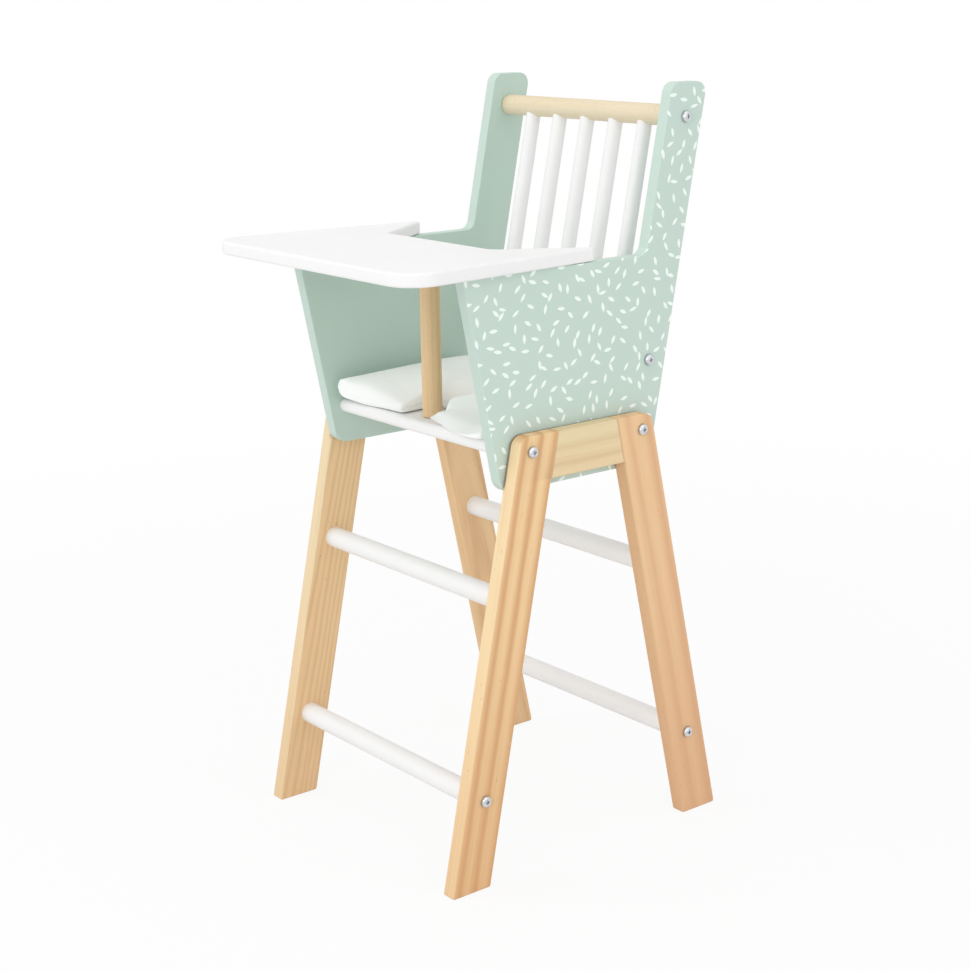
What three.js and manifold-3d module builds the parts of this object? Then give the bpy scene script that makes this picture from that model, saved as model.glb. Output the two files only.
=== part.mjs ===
// A wooden high chair for dolls: two painted side panels stand on two pine leg frames,
// and carry a seat board, a leaning slatted back and a tray on a round post.
// Millimetres, +Z up, the sitter faces -Y. The origin is on the floor, in the middle of the footprint.

import * as THREE from 'three';
import { mergeVertices } from 'three/addons/utils/BufferGeometryUtils.js';
import Module from 'manifold-3d';

const wasm = await Module();
wasm.setup();

// Whole chair. Heights build up from the leg frames, reaches from the middle between the feet.
const inner_width = 198;
const board_thickness = 10;
const lean_angle = THREE.MathUtils.degToRad( 11.75 );

// Clearances
const joint_gap = 0.3;
const cut_overrun = 2;

// Leg frames
const foot_spread = 263;
const leg_width = 33.7;
const leg_thickness = 12;
const frame_height = 330.5;
const bridge_height = 34;
const frame_corner_radius = 8;
const foot_corner_radius = 0.6;
const frame_edge_round = 1.2;
const frame_dowel_diameter = 6;
const frame_dowel_length = 24;
const frame_dowel_spacing = 16;

// Side panels
const panel_skirt = 35;
const panel_overhang = 10.2;
const panel_bottom_radius = 11;
const armrest_rise = 122;
const armrest_overhang = 29;
const armrest_front_radius = 0.7;
const armrest_fillet_radius = 7;
const upright_rise = 124;
const upright_width = 35;
const upright_top_radius = 8;
const panel_edge_round = 0.8;

// Seat board
const seat_drop = 6.5;
const seat_overhang = 5.2;
const seat_front_radius = 3.6;
const seat_rear_radius = 1;
const seat_edge_round = 0.6;

// Seat cushion
const cushion_side_gap = 2;
const cushion_front_overhang = 5;
const cushion_rear_setback = 8;
const cushion_thickness = 22;
const cushion_seam_height = 9;
const cushion_roll_width = 10;
const cushion_base_roll_width = 7;
const cushion_draw_in = 2;
const cushion_corner_draw = 1.5;
const cushion_corner_power = 6;
const cushion_slot_width = 50;
const cushion_slot_length = 32;
const cushion_slot_corner_draw = 3.5;
const cushion_slot_corner_reach = 14;

// Tray and its post
const tray_front_overhang = 58.5;
const tray_side_overhang = 20;
const tray_bearing_length = 120;
const tray_front_radius = 22;
const tray_tip_width = 5;
const tray_tip_radius = 1;
const tray_table_depth = 119;
const tray_notch_front_width = 130;
const tray_notch_radius = 8;
const tray_edge_round = 2;
const tray_pin_diameter = 5;
const tray_pin_rise = 6;
const tray_pin_depth = 12;
const tray_pin_setback = 22;
const tray_pin_spacing = 75;
const post_diameter = 15.2;
const post_setback = 18;
const post_socket_depth = 5;

// Slatted back
const rail_diameter = 16;
const rail_setback = 19.2;
const top_rail_drop = 25.2;
const lower_rail_rise = 43.5;
const slat_count = 5;
const slat_diameter = 11.5;
const slat_socket_depth = 9;

// Rungs
const rung_diameter = 16;
const rung_socket_depth = 6;
const upper_rung_height = 210;
const lower_rung_height = 68;

// Screws
const screw_diameter = 3.8;
const screw_tip_length = 4;
const screw_head_diameter = 8.4;
const screw_head_height = 2.6;
const screw_recess_depth = 1.5;
const screw_recess_length = 4.6;
const screw_recess_width = 1.1;
const frame_screw_length = 45;
const frame_screw_corner_offset = 10.3;
const panel_screw_length = 30;
const rung_screw_length = 28;
const post_screw_length = 34;
const post_screw_head_height = 3;
const screw_crown_shares = [ [ 1, 0.45 ], [ 0.86, 0.8 ], [ 0.52, 0.97 ], [ 0, 1 ] ];

// Facet counts
const rail_sides = 32;
const rung_sides = 32;
const slat_sides = 24;
const pin_sides = 12;
const screw_sides = 12;
const corner_steps = 3;
const edge_steps = 2;
const cushion_columns = 24;
const cushion_rows = 16;
const cushion_slot_columns = 4;
const cushion_slot_rows = 6;

// Values that several pieces share
const lean_slope = Math.tan( lean_angle );
const leg_span = leg_width / Math.cos( lean_angle );
const upright_span = upright_width / Math.cos( lean_angle );
const foot_reach = foot_spread / 2;
const panel_inner = inner_width / 2;
const panel_outer = panel_inner + board_thickness;
const frame_inner = panel_outer + joint_gap;
const frame_outer = frame_inner + leg_thickness;
const bore_diameter = screw_diameter + 2 * joint_gap;

// Heights, from the frames up
const seat_height = frame_height - seat_drop;
const seat_middle = seat_height - board_thickness / 2;
const panel_bottom_height = seat_height - panel_skirt;
const armrest_height = seat_height + armrest_rise;
const tray_underside = armrest_height + joint_gap;
const overall_height = armrest_height + upright_rise;
const rail_heights = [ seat_height + lower_rail_rise, overall_height - top_rail_drop ];

// Reaches to the front and rear, from the frames' upper corners outwards
const leg_edge_at = ( z ) => foot_reach - z * lean_slope;
const leg_middle_at = ( z ) => leg_edge_at( z ) - leg_span / 2;
const frame_top_reach = leg_edge_at( frame_height );
const frame_screw_reach = frame_top_reach - frame_screw_corner_offset;
const seat_reach = frame_top_reach + seat_overhang;
const panel_bottom_reach = frame_top_reach + panel_overhang;
const armrest_front_reach = panel_bottom_reach + armrest_overhang;
const tray_front_reach = armrest_front_reach + tray_front_overhang;
const post_reach = seat_reach - post_setback;
const rear_edge_at = ( z ) => panel_bottom_reach + ( z - panel_bottom_height ) * lean_slope;
const back_reach = rear_edge_at( overall_height );

// Heights of the two dowels in the joint of leg and bridge
const frame_dowel_levels = [ [ 'upper', 1 ], [ 'lower', -1 ] ].map( ( [ level, step ] ) =>
	[ level, frame_height - bridge_height / 2 + step * frame_dowel_spacing / 2 ] );

// Depths of the front and the rear pin between armrest and tray
const front_pin_depth = tray_pin_setback - armrest_front_reach;
const tray_pin_depths = [ front_pin_depth, front_pin_depth + tray_pin_spacing ];

// Names with the sign of their side: +X is the right as seen from the front, which faces -Y
const sides = [ [ 'right', 1 ], [ 'left', -1 ] ];
const ends = [ [ 'front', -1 ], [ 'rear', 1 ] ];

// Finishes
const paint = ( color ) => new THREE.MeshStandardMaterial( { color, roughness: 0.5, metalness: 0 } );
const mint_paint = () => paint( 0xcbddd3 );
const white_paint = () => paint( 0xf1f1f0 );
const pine = () => new THREE.MeshStandardMaterial( { color: 0xeecb98, roughness: 0.55, metalness: 0 } );
const beech = () => new THREE.MeshStandardMaterial( { color: 0xe6c190, roughness: 0.5, metalness: 0 } );
const cotton = () => new THREE.MeshStandardMaterial( { color: 0xf6f5f3, roughness: 0.95, metalness: 0 } );
const zinc = () => new THREE.MeshStandardMaterial( { color: 0xc9ccd0, roughness: 0.3, metalness: 1 } );

// A closed geometry as a solid for joining and cutting
function to_solid( geometry ) {

	const bare = geometry.clone();
	bare.deleteAttribute( 'normal' );
	bare.deleteAttribute( 'uv' );
	const merged = mergeVertices( bare );
	return new wasm.Manifold( new wasm.Mesh( {
		numProp: 3,
		vertProperties: new Float32Array( merged.attributes.position.array ),
		triVerts: new Uint32Array( merged.index.array ),
	} ) );

}

// A solid back as a geometry with its own normals
function to_geometry( solid ) {

	const mesh = solid.getMesh();
	const geometry = new THREE.BufferGeometry();
	geometry.setAttribute( 'position', new THREE.BufferAttribute( mesh.vertProperties, 3 ) );
	geometry.setIndex( new THREE.BufferAttribute( mesh.triVerts, 1 ) );
	geometry.computeVertexNormals();
	return geometry;

}

// A body with every cutter taken out of it
function cut( geometry, cutters ) {

	let solid = to_solid( geometry );
	for ( const cutter of cutters ) solid = solid.subtract( to_solid( cutter ) );
	return to_geometry( solid );

}

// A straight round bar between two points
function bar( diameter, start, end, sides ) {

	const span = end.clone().sub( start );
	const geometry = new THREE.CylinderGeometry( diameter / 2, diameter / 2, span.length(), sides );
	const cylinder_axis = new THREE.Vector3( 0, 1, 0 );
	const turn = new THREE.Quaternion().setFromUnitVectors( cylinder_axis, span.normalize() );
	geometry.applyQuaternion( turn );
	const middle = start.clone().add( end ).multiplyScalar( 0.5 );
	return geometry.translate( middle.x, middle.y, middle.z );

}

// Bars along one axis
const bar_x = ( diameter, x0, x1, y, z, sides ) =>
	bar( diameter, new THREE.Vector3( x0, y, z ), new THREE.Vector3( x1, y, z ), sides );
const bar_y = ( diameter, x, y0, y1, z, sides ) =>
	bar( diameter, new THREE.Vector3( x, y0, z ), new THREE.Vector3( x, y1, z ), sides );
const bar_z = ( diameter, x, y, z0, z1, sides ) =>
	bar( diameter, new THREE.Vector3( x, y, z0 ), new THREE.Vector3( x, y, z1 ), sides );

// An outline through corners [ across, up, radius ]. Each is rounded by an arc of its radius, which
// grows by the edge's own rounding, so that the flat face inside the rounded edge keeps the radius.
function rounded_outline( corners, edge_round ) {

	const shape = new THREE.Shape();
	corners.forEach( ( corner, index ) => {

		const before = corners[ ( index + corners.length - 1 ) % corners.length ];
		const after = corners[ ( index + 1 ) % corners.length ];
		const here = new THREE.Vector2( corner[ 0 ], corner[ 1 ] );
		const back = new THREE.Vector2( before[ 0 ], before[ 1 ] ).sub( here ).normalize();
		const ahead = new THREE.Vector2( after[ 0 ], after[ 1 ] ).sub( here ).normalize();
		const half_angle = Math.acos( THREE.MathUtils.clamp( back.dot( ahead ), -1, 1 ) ) / 2;
		const radius = corner[ 2 ] + edge_round;
		const tangent = radius / Math.tan( half_angle );
		const centre_distance = radius / Math.sin( half_angle );
		const centre = here.clone().add( back.clone().add( ahead ).setLength( centre_distance ) );
		const first = here.clone().addScaledVector( back, tangent ).sub( centre ).angle();
		const last = here.clone().addScaledVector( ahead, tangent ).sub( centre ).angle();
		shape.absarc( centre.x, centre.y, radius, first, last, back.cross( ahead ) > 0 );

	} );
	return shape;

}

// A board with these corners and rounded edges, lying on z = 0
function board( corners, thickness, edge_round ) {

	const geometry = new THREE.ExtrudeGeometry( rounded_outline( corners, edge_round ), {
		depth: thickness - 2 * edge_round,
		bevelThickness: edge_round,
		bevelSize: edge_round,
		bevelOffset: - edge_round,
		bevelSegments: edge_steps,
		curveSegments: corner_steps,
	} );
	return geometry.translate( 0, 0, edge_round );

}

// The same board standing up: its outline runs along Y and Z, its thickness from x = 0 towards +X
function standing_board( corners, thickness, edge_round ) {

	const upright = new THREE.Matrix4().makeBasis(
		new THREE.Vector3( 0, 1, 0 ), new THREE.Vector3( 0, 0, 1 ), new THREE.Vector3( 1, 0, 0 ) );
	return board( corners, thickness, edge_round ).applyMatrix4( upright );

}

function piece( name, geometry, material, parent ) {

	const mesh = new THREE.Mesh( geometry, material );
	mesh.name = name;
	parent.add( mesh );
	return mesh;

}

const chair = new THREE.Group();

// Side panels: one board each, from the seat's side up into the leaning back upright
function side_panel() {

	const corners = [
		[ - armrest_front_reach, armrest_height, armrest_front_radius ],
		[ - panel_bottom_reach, panel_bottom_height, panel_bottom_radius ],
		[ panel_bottom_reach, panel_bottom_height, panel_bottom_radius ],
		[ back_reach, overall_height, upright_top_radius ],
		[ back_reach - upright_span, overall_height, upright_top_radius ],
		[ rear_edge_at( armrest_height ) - upright_span, armrest_height, armrest_fillet_radius ],
	];
	const through = ( y, z ) =>
		bar_x( bore_diameter, - cut_overrun, board_thickness + cut_overrun, y, z, pin_sides );
	const pin_socket = ( y ) => bar_z( tray_pin_diameter + 2 * joint_gap, board_thickness / 2, y,
		armrest_height - tray_pin_depth - joint_gap, armrest_height + cut_overrun, pin_sides );
	return cut( standing_board( corners, board_thickness, panel_edge_round ), [
		through( frame_screw_reach, seat_middle ),
		through( - frame_screw_reach, seat_middle ),
		...rail_heights.map( ( z ) => through( rear_edge_at( z ) - rail_setback, z ) ),
		...tray_pin_depths.map( pin_socket ),
	] );

}

piece( 'right_side_panel', side_panel(), mint_paint(), chair ).position.x = panel_inner;
piece( 'left_side_panel', side_panel(), mint_paint(), chair ).position.x = - panel_outer;

// A leg: a straight bar of board, leaning by the lean angle, cut level at the floor and at its top.
// direction is 1 for the leg at +Y and -1 for its mirror image.
function leg( direction ) {

	const corners = [
		[ direction * foot_reach, 0, foot_corner_radius ],
		[ direction * frame_top_reach, frame_height, frame_corner_radius ],
		[ direction * ( frame_top_reach - leg_span ), frame_height, foot_corner_radius ],
		[ direction * ( foot_reach - leg_span ), 0, foot_corner_radius ],
	];
	const rung_socket = ( z ) => bar_x( rung_diameter + 2 * joint_gap, - cut_overrun, rung_socket_depth,
		direction * leg_middle_at( z ), z, rung_sides );
	const through = ( y, z ) =>
		bar_x( bore_diameter, - cut_overrun, leg_thickness + cut_overrun, direction * y, z, pin_sides );
	return cut( standing_board( corners, leg_thickness, frame_edge_round ), [
		rung_socket( upper_rung_height ),
		rung_socket( lower_rung_height ),
		through( frame_screw_reach, seat_middle ),
		through( leg_middle_at( lower_rung_height ), lower_rung_height ),
		...frame_dowel_levels.map( ( [ , z ] ) => frame_dowel( direction, z, joint_gap ) ),
	] );

}

// The bridge between the two legs of a frame, with ends that follow the legs' lean
function bridge() {

	const low = frame_height - bridge_height;
	const low_end = leg_edge_at( low ) - leg_span - joint_gap;
	const high_end = frame_top_reach - leg_span - joint_gap;
	const corners = [
		[ - low_end, low, foot_corner_radius ],
		[ low_end, low, foot_corner_radius ],
		[ high_end, frame_height, foot_corner_radius ],
		[ - high_end, frame_height, foot_corner_radius ],
	];
	const sockets = [ 1, -1 ].flatMap( ( direction ) =>
		frame_dowel_levels.map( ( [ , z ] ) => frame_dowel( direction, z, joint_gap ) ) );
	return cut( standing_board( corners, leg_thickness, frame_edge_round ), sockets );

}

// A dowel across the joint of leg and bridge, grown by a clearance where it serves as a cutter
function frame_dowel( direction, z, clearance ) {

	const joint = direction * ( leg_edge_at( z ) - leg_span );
	const half = frame_dowel_length / 2 + clearance;
	return bar_y( frame_dowel_diameter + 2 * clearance, leg_thickness / 2,
		joint - half, joint + half, z, pin_sides );

}

// A frame is the same from both sides, so the left one is the right one turned half round
for ( const [ side, turn ] of sides ) {

	const frame = new THREE.Group();
	frame.position.x = turn * frame_inner;
	frame.rotation.z = turn > 0 ? 0 : Math.PI;
	chair.add( frame );
	piece( `${side}_bridge_rail`, bridge(), pine(), frame );
	for ( const [ end, y_sign ] of ends ) {

		const direction = y_sign * turn;
		piece( `${side}_${end}_leg`, leg( direction ), pine(), frame );
		for ( const [ level, z ] of frame_dowel_levels ) {

			const dowel = frame_dowel( direction, z, 0 );
			piece( `${side}_${end}_${level}_frame_dowel`, dowel, beech(), frame );

		}

	}

}

// Rungs: round bars whose ends sit in blind sockets in the legs; screws hold the lower ones
const rung_half_length = frame_inner + rung_socket_depth - joint_gap;
const rung_screw_tip = frame_outer + joint_gap - rung_screw_length;

function rung( is_screwed ) {

	const body = bar_x( rung_diameter, - rung_half_length, rung_half_length, 0, 0, rung_sides );
	const pilot = ( side ) => bar_x( bore_diameter, side * ( rung_screw_tip - joint_gap ),
		side * ( rung_half_length + cut_overrun ), 0, 0, pin_sides );
	return cut( body, is_screwed ? [ pilot( 1 ), pilot( -1 ) ] : [] );

}

for ( const [ end, y_sign ] of ends ) {

	for ( const [ level, z ] of [ [ 'upper', upper_rung_height ], [ 'lower', lower_rung_height ] ] ) {

		const bar_mesh = piece( `${end}_${level}_rung`, rung( level === 'lower' ), white_paint(), chair );
		bar_mesh.position.set( 0, y_sign * leg_middle_at( z ), z );

	}

}

// Seat board: its front edge is rounded over between square corners. The frame screws hold it
// between the panels, and it is bored from below for the post's screw.
function seat_board() {

	const half_width = panel_inner - joint_gap;
	const corners = [
		[ - seat_reach, board_thickness, seat_front_radius ],
		[ - seat_reach, 0, seat_front_radius ],
		[ seat_reach, 0, seat_rear_radius ],
		[ seat_reach, board_thickness, seat_rear_radius ],
	];
	const blank = standing_board( corners, 2 * half_width, seat_edge_round ).translate( - half_width, 0, 0 );
	const screw_tip = frame_outer + joint_gap - frame_screw_length;
	const pilots = [ 1, -1 ].flatMap( ( side ) => [ 1, -1 ].map( ( end ) => bar_x( bore_diameter,
		side * ( screw_tip - joint_gap ), side * ( half_width + cut_overrun ),
		end * frame_screw_reach, board_thickness / 2, pin_sides ) ) );
	const post_screw_hole = countersunk_screw( joint_gap ).translate( 0, - post_reach, 0 );
	return cut( blank, [ ...pilots, post_screw_hole ] );

}

piece( 'seat_board', seat_board(), white_paint(), chair ).position.z = seat_height - board_thickness;

// Post: a round bar from the seat board into a blind socket in the tray
function post() {

	const start = seat_height + joint_gap;
	const end = tray_underside + post_socket_depth - joint_gap;
	const screw_end = seat_height - board_thickness + post_screw_length;
	return cut( bar_z( post_diameter, 0, 0, start, end, rail_sides ), [
		bar_z( bore_diameter, 0, 0, start - cut_overrun, screw_end + joint_gap, pin_sides ),
	] );

}

piece( 'tray_post', post(), beech(), chair ).position.y = - post_reach;

// The post's screw, head down, grown by a clearance where it serves as the seat board's countersink
function countersunk_screw( clearance ) {

	const shank = screw_diameter / 2 + clearance;
	const head = screw_head_diameter / 2 + clearance;
	const bottom = clearance > 0 ? [ [ 0, - cut_overrun ], [ head, - cut_overrun ] ] : [ [ 0, 0 ] ];
	const profile = [
		...bottom,
		[ head, 0 ],
		[ shank, post_screw_head_height ],
		[ shank, post_screw_length - screw_tip_length ],
		[ 0, post_screw_length + clearance ],
	];
	const points = profile.map( ( [ r, z ] ) => new THREE.Vector2( r, z ) );
	return new THREE.LatheGeometry( points, screw_sides ).rotateX( Math.PI / 2 );

}

piece( 'post_screw', cut( countersunk_screw( 0 ), [] ), zinc(), chair )
	.position.set( 0, - post_reach, seat_height - board_thickness );

// Tray: a board on the armrests, with a notch for the sitter. Its arms taper to narrow tips that
// end flush with the panels' outer faces.
function tray() {

	const front_half = panel_outer + tray_side_overhang;
	const notch_half = tray_notch_front_width / 2;
	const notch_edge = tray_table_depth - tray_front_reach;
	const tip_inner = panel_outer - tray_tip_width;
	const tip_end = tray_bearing_length - armrest_front_reach;
	const corners = [
		[ - front_half, - tray_front_reach, tray_front_radius ],
		[ front_half, - tray_front_reach, tray_front_radius ],
		[ panel_outer, tip_end, tray_tip_radius ],
		[ tip_inner, tip_end, tray_tip_radius ],
		[ notch_half, notch_edge, tray_notch_radius ],
		[ - notch_half, notch_edge, tray_notch_radius ],
		[ - tip_inner, tip_end, tray_tip_radius ],
		[ - panel_outer, tip_end, tray_tip_radius ],
	];
	const pin_sockets = tray_pin_places.map( ( { x, y } ) => bar_z( tray_pin_diameter + 2 * joint_gap,
		x, y, - cut_overrun, tray_pin_rise + joint_gap, pin_sides ) );
	const post_socket = bar_z( post_diameter + 2 * joint_gap, 0, - post_reach,
		- cut_overrun, post_socket_depth, rail_sides );
	return cut( board( corners, board_thickness, tray_edge_round ), [ ...pin_sockets, post_socket ] );

}

const tray_pin_places = sides.flatMap( ( [ side, x_sign ] ) => ends.map( ( [ end ], index ) => ( {
	name: `${side}_${end}_tray_pin`,
	x: x_sign * ( panel_inner + board_thickness / 2 ),
	y: tray_pin_depths[ index ],
} ) ) );

piece( 'tray', tray(), white_paint(), chair ).position.z = tray_underside;

// Pins that keep the tray in place on the armrests
for ( const { name, x, y } of tray_pin_places ) {

	const pin = bar_z( tray_pin_diameter, 0, 0, - tray_pin_depth, tray_pin_rise, pin_sides );
	piece( name, pin, beech(), chair ).position.set( x, y, armrest_height );

}

// Back: two round rails with the slats between them, all in a group that leans with the uprights.
// The group's origin is on the lower rail's axis.
const back = new THREE.Group();
back.position.set( 0, rear_edge_at( rail_heights[ 0 ] ) - rail_setback, rail_heights[ 0 ] );
back.rotation.x = - lean_angle;
chair.add( back );

const back_height = ( rail_heights[ 1 ] - rail_heights[ 0 ] ) / Math.cos( lean_angle );
const slat_pitch = inner_width / ( slat_count + 1 );
const slat_places = Array.from( { length: slat_count }, ( _, index ) =>
	( index - ( slat_count - 1 ) / 2 ) * slat_pitch );
const slat_end = slat_socket_depth - rail_diameter / 2;
const panel_screw_tip = panel_outer + joint_gap - panel_screw_length;

// facing is 1 for the lower rail, whose sockets open upwards, and -1 for the top rail
function back_rail( facing ) {

	const half_length = panel_inner - joint_gap;
	const sockets = slat_places.map( ( x ) => bar_z( slat_diameter + 2 * joint_gap, x, 0,
		- facing * ( slat_end + joint_gap ), facing * rail_diameter, slat_sides ) );
	const pilots = [ 1, -1 ].map( ( side ) => bar_x( bore_diameter,
		side * ( panel_screw_tip - joint_gap ), side * ( half_length + cut_overrun ), 0, 0, pin_sides ) );
	const rail = bar_x( rail_diameter, - half_length, half_length, 0, 0, rail_sides );
	return cut( rail, [ ...sockets, ...pilots ] );

}

piece( 'lower_back_rail', back_rail( 1 ), beech(), back );
piece( 'top_back_rail', back_rail( -1 ), beech(), back ).position.z = back_height;
slat_places.forEach( ( x, index ) => {

	const slat = bar_z( slat_diameter, 0, 0, - slat_end, back_height + slat_end, slat_sides );
	piece( `back_slat_${index + 1}`, slat, white_paint(), back ).position.x = x;

} );

// Pan-head screw along X, its head towards +X and the origin under the head, with a cross recess
function pan_screw( length ) {

	const shank = screw_diameter / 2;
	const head = screw_head_diameter / 2;
	const profile = [ [ 0, - length ], [ shank, screw_tip_length - length ], [ shank, 0 ], [ head, 0 ] ];
	for ( const [ r_share, z_share ] of screw_crown_shares ) {

		profile.push( [ r_share * head, z_share * screw_head_height ] );

	}
	const points = profile.map( ( [ r, z ] ) => new THREE.Vector2( r, z ) );
	const body = new THREE.LatheGeometry( points, screw_sides ).rotateZ( - Math.PI / 2 );
	const recess_height = screw_recess_depth + cut_overrun;
	const recess_middle = screw_head_height - screw_recess_depth + recess_height / 2;
	const slot = ( width, depth ) =>
		new THREE.BoxGeometry( recess_height, width, depth ).translate( recess_middle, 0, 0 );
	return cut( body, [
		slot( screw_recess_length, screw_recess_width ),
		slot( screw_recess_width, screw_recess_length ),
	] );

}

// One screw on each side of the chair, at these places along the side
for ( const [ side, x_sign ] of sides ) {

	const add_screw = ( name, length, face, y, z, parent ) => {

		const screw = piece( `${side}_${name}_screw`, pan_screw( length ), zinc(), parent );
		screw.position.set( x_sign * ( face + joint_gap ), y, z );
		screw.rotation.z = x_sign > 0 ? 0 : Math.PI;

	};

	for ( const [ end, y_sign ] of ends ) {

		add_screw( `${end}_frame`, frame_screw_length, frame_outer,
			y_sign * frame_screw_reach, seat_middle, chair );
		add_screw( `${end}_rung`, rung_screw_length, frame_outer,
			y_sign * leg_middle_at( lower_rung_height ), lower_rung_height, chair );

	}
	add_screw( 'lower_back', panel_screw_length, panel_outer, 0, 0, back );
	add_screw( 'top_back', panel_screw_length, panel_outer, 0, back_height, back );

}

// Seat cushion: a grid of cells over its plan, with a slot at the front for the post.
// Top and bottom meet at a seam round the edge; the top is crowned and the bottom lies flat.
function cushion() {

	const half_width = panel_inner - cushion_side_gap;
	const front = - seat_reach - cushion_front_overhang;
	const rear = seat_reach - cushion_rear_setback;
	const depth = rear - front;
	const slot_end_y = front + cushion_slot_length;
	const slot_half = cushion_slot_width / 2;
	const slot_first = ( cushion_columns - cushion_slot_columns ) / 2;
	const slot_last = slot_first + cushion_slot_columns;
	const in_slot = ( column, row ) =>
		column >= slot_first && column < slot_last && row < cushion_slot_rows;

	// Place in plan of one grid corner
	const plan = ( column, row ) => {

		const side = Math.sign( column - cushion_columns / 2 );
		const outwards = Math.abs( column - cushion_columns / 2 );
		const slot_edge = cushion_slot_columns / 2;
		const outer_share = ( outwards - slot_edge ) / ( cushion_columns / 2 - slot_edge );
		const x = outwards <= slot_edge
			? slot_half * outwards / slot_edge
			: slot_half + ( half_width - slot_half ) * outer_share;
		const front_share = row / cushion_slot_rows;
		const rear_share = ( row - cushion_slot_rows ) / ( cushion_rows - cushion_slot_rows );
		const y = row <= cushion_slot_rows
			? front + cushion_slot_length * front_share
			: slot_end_y + ( rear - slot_end_y ) * rear_share;

		// The sides draw in between the corners, and the corners themselves are rounded
		const a = x / half_width;
		const b = ( y - front ) / depth * 2 - 1;
		const corner = Math.abs( a * b ) ** cushion_corner_power;
		const side_draw = cushion_draw_in * ( 1 - b * b ) + cushion_corner_draw * corner;
		const end_draw = cushion_draw_in * ( 1 - a * a ) * Math.abs( b ) + cushion_corner_draw * corner;
		let plan_x = x - a * side_draw;
		let plan_y = y - b * end_draw;

		// The slot's mouth has rounded corners too, and its end is a bow round the post
		const to_mouth = Math.hypot( x - slot_half, y - front );
		const mouth = Math.max( 0, 1 - to_mouth / cushion_slot_corner_reach ) ** 2;
		if ( outwards >= slot_edge ) {

			plan_x += cushion_slot_corner_draw * mouth;
			plan_y += cushion_slot_corner_draw * mouth;

		}
		const to_end = Math.hypot( x - slot_half, y - slot_end_y );
		const end = Math.max( 0, 1 - to_end / cushion_slot_corner_reach ) ** 2;
		plan_x -= cushion_slot_corner_draw * end;
		plan_y -= cushion_slot_corner_draw * end;
		return new THREE.Vector2( side * plan_x, plan_y );

	};

	// The edge of the plan: every side of a cell that has no cell beyond it
	const has_cell = ( column, row ) => column >= 0 && row >= 0
		&& column < cushion_columns && row < cushion_rows && ! in_slot( column, row );
	const edges = [];
	for ( let column = 0; column < cushion_columns; column ++ ) {

		for ( let row = 0; row < cushion_rows; row ++ ) {

			if ( ! has_cell( column, row ) ) continue;
			const left_front = plan( column, row );
			const right_front = plan( column + 1, row );
			const left_rear = plan( column, row + 1 );
			const right_rear = plan( column + 1, row + 1 );
			if ( ! has_cell( column - 1, row ) ) edges.push( [ left_front, left_rear ] );
			if ( ! has_cell( column + 1, row ) ) edges.push( [ right_front, right_rear ] );
			if ( ! has_cell( column, row - 1 ) ) edges.push( [ left_front, right_front ] );
			if ( ! has_cell( column, row + 1 ) ) edges.push( [ left_rear, right_rear ] );

		}

	}

	const edge_distance = ( point ) => Math.min( ...edges.map( ( [ from, to ] ) => {

		const along = to.clone().sub( from );
		const along_share = point.clone().sub( from ).dot( along ) / along.lengthSq();
		const nearest = from.clone().addScaledVector( along, THREE.MathUtils.clamp( along_share, 0, 1 ) );
		return point.distanceTo( nearest );

	} ) );

	// A quarter round that rises from the seam over the roll's width
	const roll = ( distance, width ) => Math.sqrt( 1 - ( 1 - Math.min( distance / width, 1 ) ) ** 2 );
	const positions = [];
	const corner_index = new Map();
	const corner_at = ( column, row, is_top ) => {

		const point = plan( column, row );
		const distance = edge_distance( point );
		const is_edge = edges.some( ( [ from, to ] ) => from.equals( point ) || to.equals( point ) );
		const key = `${column} ${row} ${is_edge || is_top}`;
		if ( ! corner_index.has( key ) ) {

			const rise = is_top
				? ( cushion_thickness - cushion_seam_height ) * roll( distance, cushion_roll_width )
				: - cushion_seam_height * roll( distance, cushion_base_roll_width );
			corner_index.set( key, positions.length / 3 );
			positions.push( point.x, point.y, cushion_seam_height + ( is_edge ? 0 : rise ) );

		}
		return corner_index.get( key );

	};

	const index = [];
	for ( let column = 0; column < cushion_columns; column ++ ) {

		for ( let row = 0; row < cushion_rows; row ++ ) {

			if ( ! has_cell( column, row ) ) continue;
			for ( const is_top of [ true, false ] ) {

				const a = corner_at( column, row, is_top );
				const b = corner_at( column + 1, row, is_top );
				const c = corner_at( column + 1, row + 1, is_top );
				const d = corner_at( column, row + 1, is_top );
				if ( is_top ) index.push( a, b, c, a, c, d );
				else index.push( a, c, b, a, d, c );

			}

		}

	}
	const geometry = new THREE.BufferGeometry();
	geometry.setAttribute( 'position', new THREE.Float32BufferAttribute( positions, 3 ) );
	geometry.setIndex( index );
	geometry.computeVertexNormals();
	return geometry;

}

piece( 'seat_cushion', cushion(), cotton(), chair ).position.z = seat_height + joint_gap;

// The tray reaches further forward than the feet, so the footprint's middle lies in front of the seat
const footprint = new THREE.Box3().setFromObject( chair );
chair.position.y = - ( footprint.min.y + footprint.max.y ) / 2;

export default chair;
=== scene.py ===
"""The looks of a wooden high chair for dolls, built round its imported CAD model.

Two painted side panels stand on two pine leg frames. Between them are the seat board with its
loose cushion, a slatted back that leans, four rungs, and a tray on a round post.
Metres, +Z up, the sitter faces -Y.
"""

import math

import bmesh
import bpy
from mathutils import Matrix, Vector


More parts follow.
